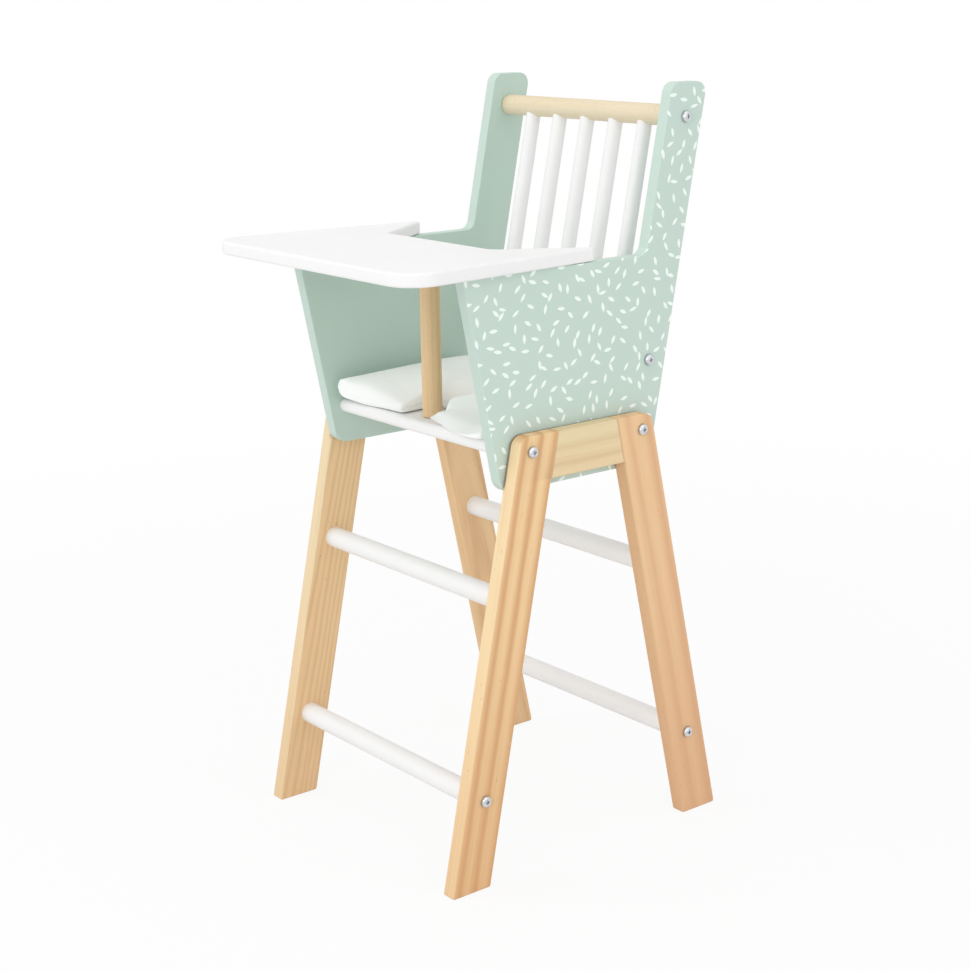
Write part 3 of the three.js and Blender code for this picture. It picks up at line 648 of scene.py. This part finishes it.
outwards = [vertex.normal.copy() for vertex in cushion.data.vertices]
for vertex, normal in zip(cushion.data.vertices, outwards):
    # The seam's narrow ridge round the edge
    if abs(normal.z) < 0.8:
        vertex.co += normal * seam_ridge * bell(vertex.co.z, low.z + pad_seam_height, seam_width)

    # The left lobe: its outer corner is drawn out and curls up, and it has sunk towards the slot
    x, from_front, above = vertex.co.x, vertex.co.y - low.y, vertex.co.z - low.z
    if x < 0:
        at_corner = ramp_up(-x, 0.055, 0.092) * (1 - ramp_up(from_front, 0, 0.036))
        vertex.co.y -= corner_forward * at_corner
        vertex.co.x -= corner_outward * at_corner
        above = above * (1 - 0.26 * at_corner) + corner_curl * at_corner
        underneath = (1 - ramp_up(above, 0.004, 0.012)) * (1 - ramp_up(from_front, 0.002, 0.010))
        above -= lobe_droop * underneath * (1 - at_corner)
        to_mouth = math.hypot(x + 0.020, from_front)
        above *= 1 - 0.66 * max(0, 1 - to_mouth / mouth_reach) ** 1.2

    # The right lobe is as high as the rest only behind a slanting crease. Before it there is a
    # thin flap with a lifted tip at the slot, which slopes down to the seat's front edge.
    else:
        past_crease = max(x - crease_x, 0) * 0.84 - (from_front - crease_y) * 0.54
        along_crease = (x - crease_x) * 0.54 + (from_front - crease_y) * 0.84
        fades = (1 - ramp_up(along_crease, 0.034, 0.066)) * (1 - 0.6 * ramp_up(x, 0.066, 0.094))
        sunk = ramp_up(past_crease, -0.0016, 0.0018) * fades
        at_front = 1 - ramp_up(from_front, 0.001, 0.010)
        bulge = 0
        if from_front > -0.0015:
            bulge = math.sqrt(1 - (max(0.007 - from_front, 0) / 0.0085) ** 2)
        flap = (flap_height - flap_slope * max(past_crease, 0)) * (0.45 + 0.55 * bulge)
        above *= 1 + (flap / pad_full_height - 1) * sunk
        above *= 1 - 0.65 * at_front * sunk * ramp_up(x, 0.028, 0.042)
        vertex.co.y -= flap_forward * at_front * sunk
        high_up = ramp_up(above, 0.004, 0.016)
        above -= 0.0014 * bell(past_crease, -0.014, 0.016) * fades * high_up
        above -= 0.0010 * bell(past_crease, 0.0022, 0.0022) * fades * ramp_up(above, 0.003, 0.008)
        vertex.co.x -= 0.0035 * bell(math.hypot(x - 0.026, from_front - 0.001), 0, 0.014) * sunk
        if from_front > 0.012:
            vertex.co.x = max(vertex.co.x, 0.0250)
    high_up = ramp_up(above, 0.004, 0.016)
    above += 0.0005 * high_up * (
        math.sin(x * 95 + 1.1) * math.sin(from_front * 78 + 0.4) + 0.6 * math.sin(x * 41 + 2.2))
    vertex.co.z = low.z + above

    # It rests flat on the seat and stays clear of the panels, the post and the lower back rail
    away = Vector((vertex.co.x - post_middle.x, vertex.co.y - post_middle.y))
    if away.length < post_radius + post_clearance:
        away *= (post_radius + post_clearance) / away.length
        vertex.co.x, vertex.co.y = post_middle.x + away.x, post_middle.y + away.y
    vertex.co.x = min(max(vertex.co.x, low.x - 0.001), high.x + 0.001)
    vertex.co.y = min(max(vertex.co.y, low.y - 0.0015), high.y + 0.0008)
    vertex.co.z = max(vertex.co.z, low.z)
smooth(cushion, 180)


def cotton(name, tone):
    """White cotton in a plain weave, a little uneven and softly creased."""
    def build(place):
        x, y, z = (place.node("ShaderNodeSeparateXYZ", {}, {"Vector": place}, i) for i in range(3))
        warp = (x * 5200).math("SINE", x * 5200)
        weft = (y * 5200 + z * 2100).math("SINE", y * 5200 + z * 2100)
        slub = place.turned(scale=(60, 900, 60)).noise(1, 2)
        crease = place.turned(scale=(38, 52, 38)).noise(1, 2, 0.45)
        shade = place.noise(30, 2)
        return {
            "Base Color": (shade * 0.5 + slub * 0.3).mix(tone, colour(243, 246, 243)),
            "Roughness": 0.88 + slub * 0.1,
            "height": (warp * weft * 0.03 + slub * 0.05 + crease * 1.2, 0.0011),
        }

    return finish(name, build, Sheen_Weight=0.25, Sheen_Roughness=0.5)


cushion.data.materials.append(cotton("seat_cushion_cotton", colour(250, 252, 250)))
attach(cushion, "cushion")
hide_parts("seat_cushion")


# Post. A plain round bar of beech stands on the seat board, screwed from below, and its upper
# end sits in a blind socket under the tray.


def beech(name, axis, light, dark):
    """Oiled beech: fine straight grain along one axis, with the short dark flecks of its rays."""
    fine = [420, 420, 420]
    fine[axis] = 7
    wide = [70, 70, 70]
    wide[axis] = 2.5
    short = [1300, 1300, 1300]
    short[axis] = 260

    def build(place):
        broad = place.turned(scale=wide).noise(1, 2).rise(0.3, 0.72)
        grain = place.turned(scale=fine).noise(1, 3, 0.6)
        rays = place.turned(scale=short).noise(1, 1).rise(0.64, 0.72)
        wood = (broad * 0.55 + grain.rise(0.4, 0.75) * 0.35).mix(light, dark)
        wood = (rays * 0.22).mix(wood, (0.3, 0.16, 0.08, 1))
        return {
            "Base Color": wood,
            "Roughness": 0.52 + grain * 0.1,
            "height": (grain * 0.7 - rays * 0.3, 0.00008),
        }

    return finish(name, build)


post = round_bar("tray_post_bar", "tray_post", 2, 0.0008)
smooth(post)
post.data.materials.append(beech(
    "tray_post_beech", 2, colour(236, 209, 165), colour(212, 174, 127)))
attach(post, "chair")
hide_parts("tray_post")


# Tray. A white painted board, wider in front, lies on the armrests. The notch for the sitter
# leaves two arms that taper to narrow tips. Pins hold it on the armrests, the post in the middle.

tray_front_half = 0.129
tray_front_radius = 0.024
tray_notch_radius = 0.010
tray_tip_radius = 0.003
tray_edge = 0.002
tray_notch_half = 0.065
tray_table_depth = 0.119
tray_tip_inner = 0.104
tray_tip_outer = 0.109

low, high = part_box("tray")
notch = low.y + tray_table_depth
tray = add(bpy.ops.mesh.primitive_cube_add, "tray_board", size=1,
           location=(0, (low.y + notch) / 2, (low.z + high.z) / 2),
           scale=(2 * tray_front_half, tray_table_depth, high.z - low.z))
slant = (tray_front_half - tray_tip_outer) / (high.y - low.y)
shape(tray, "FACE", lambda face: face.normal.y > 0.9, bpy.ops.transform.resize,
      value=(1 - slant * tray_table_depth / tray_front_half, 1, 1))
for x in (-tray_notch_half, tray_notch_half):
    shape(tray, "FACE", lambda face: True, bpy.ops.mesh.bisect,
          plane_co=(x, 0, 0), plane_no=(1, 0, 0))
shape(tray, "FACE", lambda face: face.normal.y > 0.9 and abs(middle(face).x) > tray_notch_half,
      bpy.ops.mesh.extrude_region_move, TRANSFORM_OT_translate={"value": (0, high.y - notch, 0)})
table_half = tray_front_half - slant * tray_table_depth
for x in (-1, 1):
    for start, end in ((tray_notch_half, tray_tip_inner), (table_half, tray_tip_outer)):
        shape(tray, "EDGE", lambda edge: middle(edge).y > high.y - 0.001
              and abs(middle(edge).x - x * start) < 0.001 and abs(
                  edge.verts[0].co.z - edge.verts[1].co.z) > 0.005,
              bpy.ops.transform.translate, value=(x * (end - start), 0, 0))
shape(tray, "FACE", lambda face: True, bpy.ops.mesh.dissolve_limited, angle_limit=0.004)
for x in (-1, 1):
    round_corner(tray, 2, (x * tray_front_half, low.y, 0), tray_front_radius, 16)
    round_corner(tray, 2, (x * tray_notch_half, notch, 0), tray_notch_radius, 8)
    round_corner(tray, 2, (x * tray_tip_inner, high.y, 0), tray_tip_radius, 6)
    round_corner(tray, 2, (x * tray_tip_outer, high.y, 0), tray_tip_radius, 6)
ease_outline(tray, 2, tray_edge, segments=4)
smooth(tray)
tray.data.materials.append(white("tray_white", colour(243, 243, 243), (260, 260, 260)))
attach(tray, "chair")
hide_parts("tray")


# Slatted back. Two round beech rails lie between the uprights, held by a screw at each end, and
# five white painted round slats sit in sockets in them. The whole back leans with the uprights.

for name in ("lower_back_rail", "top_back_rail"):
    rail = round_bar(name + "_bar", name, 0, 0.0006)
    smooth(rail)
    rail.data.materials.append(beech(name + "_beech", 0, colour(232, 220, 193),
                                     colour(222, 202, 167)))
    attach(rail, "chair")
    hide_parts(name)

slat_radius = 0.00575
back_lean = math.radians(11.75)
for number in range(1, 6):
    name = f"back_slat_{number}"
    low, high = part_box(name)
    span = (high.z - low.z - 2 * slat_radius * math.sin(back_lean)) / math.cos(back_lean)
    slat = add(bpy.ops.mesh.primitive_cylinder_add, name + "_bar", vertices=48,
               radius=slat_radius, depth=span, location=(low + high) / 2,
               rotation=(-back_lean, 0, 0))
    shape(slat, "EDGE", lambda edge: len(edge.link_faces) == 2 and max(
        len(face.verts) for face in edge.link_faces) > 4,
        bpy.ops.mesh.bevel, offset=0.0006, segments=2, affect="EDGES")
    smooth(slat)
    slat.data.materials.append(white(name + "_white", grain=(500, 500, 20)))
    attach(slat, "chair")
    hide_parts(name)


# Screws. Zinc plated steel, with a low domed head and a cross recess. One holds each end of the
# back rails and lower rungs, and one each end of the seat board through frame and panel.

head_radius = 0.0042
head_height = 0.0026
# A thin collar under the head carries the painted shade ring.
shade_collar_radius = 0.0043
shade_collar_height = 0.0004
head_rim_radius = 0.0015
head_dome = 0.0001
shank_radius = 0.0019
shank_point = 0.004
recess_span = 0.0046
recess_width = 0.0011
recess_depth = 0.0036


def zinc(name, wood_face, outwards):
    """Bright zinc plate with faint turning marks, and a painted shade ring where the head meets
    the wood.
    """
    def build(place):
        across = place.node("ShaderNodeSeparateXYZ", {}, {"Vector": place})
        stain = place.noise(900, 3, 0.6)
        plate = stain.rise(0.35, 0.8).mix(colour(222, 224, 227), colour(176, 180, 186))
        off_face = (across - wood_face) * outwards
        # Painted shade: the collar and the head's foot turn dark where the head meets the wood.
        collar_shade = (1 - off_face.rise(shade_collar_height, shade_collar_height + 0.0003)) * 0.6
        return {
            "Base Color": (collar_shade * 0.85).mix(plate, colour(70, 62, 54)),
            "Roughness": 0.2 + stain * 0.14 + collar_shade * 0.3,
            "Metallic": 1 - collar_shade * 0.75,
            "height": (stain, 0.00003),
        }

    return finish(name, build)


for side, outwards in (("right", 1), ("left", -1)):
    for kind in ("front_frame", "rear_frame", "front_rung", "rear_rung", "lower_back", "top_back"):
        name = f"{side}_{kind}_screw"
        low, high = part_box(name)
        tip, top = (low.x, high.x) if outwards > 0 else (high.x, low.x)
        seat_of_head = top - outwards * head_height
        length = abs(seat_of_head - tip)
        centre = (low + high) / 2
        screw = add(bpy.ops.mesh.primitive_cylinder_add, name + "_head", vertices=40,
                    radius=head_radius, depth=head_height,
                    location=(seat_of_head + outwards * head_height / 2, centre.y, centre.z),
                    rotation=(0, math.pi / 2, 0))

        def on_top(face):
            return face.normal.x * outwards > 0.9 and (middle(face).x - top) * outwards > -0.0001

        shape(screw, "FACE", on_top, bpy.ops.mesh.inset, thickness=head_radius * 0.5)

        def rim(edge):
            return all((v.co - centre).yz.length > head_radius * 0.9
                       and (v.co.x - top) * outwards > -0.0001 for v in edge.verts)

        shape(screw, "EDGE", rim, bpy.ops.mesh.bevel, offset=head_rim_radius, segments=5,
              affect="EDGES")
        shape(screw, "FACE", on_top, bpy.ops.transform.translate,
              value=(outwards * head_dome, 0, 0))

        def underneath(face):
            return face.normal.x * outwards < -0.9

        def shank_end(face):
            return underneath(face) and len(face.verts) > 30

        shape(screw, "FACE", underneath, bpy.ops.transform.translate,
              value=(outwards * shade_collar_height, 0, 0))
        shape(screw, "FACE", underneath, bpy.ops.mesh.extrude_region_move,
              TRANSFORM_OT_translate={"value": (-outwards * shade_collar_height, 0, 0)})
        shape(screw, "FACE", underneath, bpy.ops.transform.resize,
              value=(1, shade_collar_radius / head_radius, shade_collar_radius / head_radius))
        shape(screw, "FACE", underneath, bpy.ops.mesh.inset,
              thickness=shade_collar_radius - shank_radius)
        for part in (length - shank_point, shank_point):
            shape(screw, "FACE", shank_end, bpy.ops.mesh.extrude_region_move,
                  TRANSFORM_OT_translate={"value": (-outwards * part, 0, 0)})
        shape(screw, "FACE", shank_end, bpy.ops.transform.resize, value=(1, 0.12, 0.12))
        for size in ((recess_depth, recess_span, recess_width),
                     (recess_depth, recess_width, recess_span)):
            cross = add(bpy.ops.mesh.primitive_cube_add, "recess", size=1,
                        location=(top + outwards * 0.0003, centre.y, centre.z), scale=size)
            shape(cross, "FACE", underneath, bpy.ops.transform.resize, value=(1, 0.6, 0.6))
            apply(screw, "BOOLEAN", object=cross, operation="DIFFERENCE", solver="EXACT")
            bpy.data.objects.remove(cross)
        smooth(screw, 32)
        screw.data.materials.append(zinc(name + "_zinc", seat_of_head, outwards))
        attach(screw, "chair")
        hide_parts(name)


# Hidden fixings: the beech dowels in the frames' joints and the pins under the tray, and the
# post's countersunk screw. Their CAD solids stay and get their finish.

hidden_beech = beech("dowel_beech", 1, colour(236, 205, 158), colour(214, 172, 120))
pin_beech = beech("pin_beech", 2, colour(236, 205, 158), colour(214, 172, 120))
for name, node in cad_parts.items():
    if name.endswith("_frame_dowel"):
        node.data.materials.clear()
        node.data.materials.append(hidden_beech)
    if name.endswith("_tray_pin"):
        node.data.materials.clear()
        node.data.materials.append(pin_beech)
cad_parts["post_screw"].data.materials.clear()
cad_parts["post_screw"].data.materials.append(zinc("post_screw_zinc", -1, 1))


# The studio: a plain pale floor that keeps a soft shadow, a bright white surround, large soft
# lamps in front, at both sides and above, and the camera at the photograph's angle.

chair_middle = (0, 0, 0.3)
key_power = 12.2
left_power = 12.4
top_power = 9.6
fill_power = 9.2
world_strength = 0.69
floor_grey = 0.86
shadow_near, shadow_far = 0.35, 1.6
camera_place = (1.14363, -0.86849, 0.64423)
camera_heading = 50.046
camera_downwards = 13.069
camera_roll = -0.540


def seen_by_eye(tree):
    """1 for rays of the camera and for mirror and see-through rays, 0 for the light's own."""
    rays = tree.nodes.new("ShaderNodeLightPath")
    camera_ray = Field(rays.outputs["Is Camera Ray"])
    mirror_ray = Field(rays.outputs["Is Glossy Ray"])
    clear_ray = Field(rays.outputs["Is Transmission Ray"])
    total = camera_ray + mirror_ray + clear_ray
    return total.math("MINIMUM", total, 1)


floor = add(bpy.ops.mesh.primitive_plane_add, "floor", size=14, location=(0, 0, 0))
floor_finish = bpy.data.materials.new("pale_floor")
floor_finish.use_nodes = True
tree = floor_finish.node_tree
tree.nodes.remove(tree.nodes["Principled BSDF"])
matt = tree.nodes.new("ShaderNodeBsdfDiffuse")
matt.inputs["Color"].default_value = (floor_grey, floor_grey, floor_grey, 1)
glow = tree.nodes.new("ShaderNodeEmission")
glow.inputs["Color"].default_value = (1, 1, 1, 1)
spread = Field(tree.nodes.new("ShaderNodeTexCoord").outputs["Object"])
distance = spread.node("ShaderNodeVectorMath", {"operation": "LENGTH"}, {0: spread}, "Value")
share = seen_by_eye(tree) * (distance.rise(shadow_near, shadow_far) * 0.12 + 0.88)
both = tree.nodes.new("ShaderNodeMixShader")
tree.links.new(share.socket, both.inputs[0])
tree.links.new(matt.outputs[0], both.inputs[1])
tree.links.new(glow.outputs[0], both.inputs[2])
tree.links.new(both.outputs[0], tree.nodes["Material Output"].inputs["Surface"])
floor.data.materials.append(floor_finish)

world = bpy.context.scene.world or bpy.data.worlds.new("studio")
bpy.context.scene.world = world
world.use_nodes = True
tree = world.node_tree
lit = tree.nodes["Background"]
lit.inputs["Color"].default_value = (1, 1, 1, 1)
lit.inputs["Strength"].default_value = world_strength
shown = tree.nodes.new("ShaderNodeBackground")
shown.inputs["Color"].default_value = (1, 1, 1, 1)
shown.inputs["Strength"].default_value = 1
both = tree.nodes.new("ShaderNodeMixShader")
tree.links.new(seen_by_eye(tree).socket, both.inputs[0])
tree.links.new(lit.outputs[0], both.inputs[1])
tree.links.new(shown.outputs[0], both.inputs[2])
tree.links.new(both.outputs[0], tree.nodes["World Output"].inputs["Surface"])


def soft_lamp(name, power, size, place):
    """A square lamp at a place, turned towards the chair's middle."""
    lamp = bpy.data.lights.new(name, "AREA")
    lamp.energy, lamp.size = power, size
    holder = bpy.data.objects.new(name, lamp)
    holder.location = place
    holder.rotation_euler = (Vector(place) - Vector(chair_middle)).to_track_quat(
        "Z", "Y").to_euler()
    bpy.context.scene.collection.objects.link(holder)


soft_lamp("key_lamp", key_power, 1.6, (1.2, -2.0, 1.0))
soft_lamp("left_lamp", left_power, 1.6, (-1.2, -1.8, 1.8))
soft_lamp("top_lamp", top_power, 2.0, (0, -0.2, 2.6))
soft_lamp("fill_lamp", fill_power, 2.0, (2.2, 0.3, 1.2))

camera_data = bpy.data.cameras.new("camera")
camera_data.lens = 71.26
camera_data.shift_x = -0.0772
camera_data.shift_y = -0.0623
camera = bpy.data.objects.new("camera", camera_data)
camera.location = camera_place
camera.rotation_euler = (
    Matrix.Rotation(math.radians(camera_heading), 3, "Z")
    @ Matrix.Rotation(math.radians(90 - camera_downwards), 3, "X")
    @ Matrix.Rotation(math.radians(camera_roll), 3, "Z")).to_euler()
bpy.context.scene.collection.objects.link(camera)
bpy.context.scene.camera = camera
bpy.context.scene.view_settings.view_transform = "Standard"
